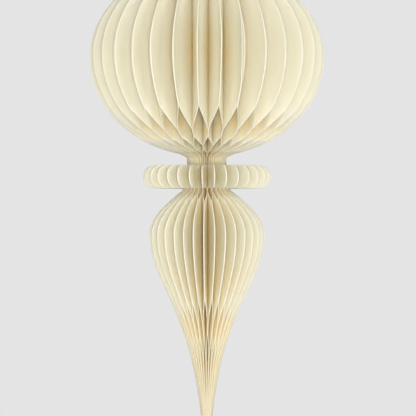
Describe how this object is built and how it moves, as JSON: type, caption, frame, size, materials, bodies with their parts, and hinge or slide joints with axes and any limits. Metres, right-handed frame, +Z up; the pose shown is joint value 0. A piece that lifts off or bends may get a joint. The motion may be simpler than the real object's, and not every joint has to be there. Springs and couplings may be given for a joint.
{
  "type": "honeycomb paper finial",
  "caption": "Hanging honeycomb finial of cream paper: a round bulb over a thin disc and a long tapering drop, all cut in one outline from leaves that fan round a spine.",
  "frame": {"origin": "middle of the flat top of the spine, where the finial hangs", "axes": "+Z up along the spine, -Y is the front in the picture, +X to the right of it"},
  "size_m": [0.1198, 0.1198, 0.2353],
  "materials": {
    "cream_paper": "matte uncoated cream paper of about 200 grams a square metre",
    "packed_paper": "matte, the bound margins of the same paper pressed together"
  },
  "bodies": {
    "root": {"leaf_pair_01": "cream_paper", "leaf_pair_02": "cream_paper", "leaf_pair_03": "cream_paper", "leaf_pair_04": "cream_paper", "leaf_pair_05": "cream_paper", "leaf_pair_06": "cream_paper", "leaf_pair_07": "cream_paper", "leaf_pair_08": "cream_paper", "leaf_pair_09": "cream_paper", "leaf_pair_10": "cream_paper", "leaf_pair_11": "cream_paper", "leaf_pair_12": "cream_paper", "leaf_pair_13": "cream_paper", "leaf_pair_14": "cream_paper", "leaf_pair_15": "cream_paper", "leaf_pair_16": "cream_paper", "leaf_pair_17": "cream_paper", "leaf_pair_18": "cream_paper", "leaf_pair_19": "cream_paper", "leaf_pair_20": "cream_paper", "leaf_pair_21": "cream_paper", "leaf_pair_22": "cream_paper", "leaf_pair_23": "cream_paper", "leaf_pair_24": "cream_paper", "leaf_pair_25": "cream_paper", "leaf_pair_26": "cream_paper", "leaf_pair_27": "cream_paper", "leaf_pair_28": "cream_paper", "leaf_pair_29": "cream_paper", "leaf_pair_30": "cream_paper", "leaf_pair_31": "cream_paper", "leaf_pair_32": "cream_paper", "spine": "packed_paper"}
  },
  "joints": []
}
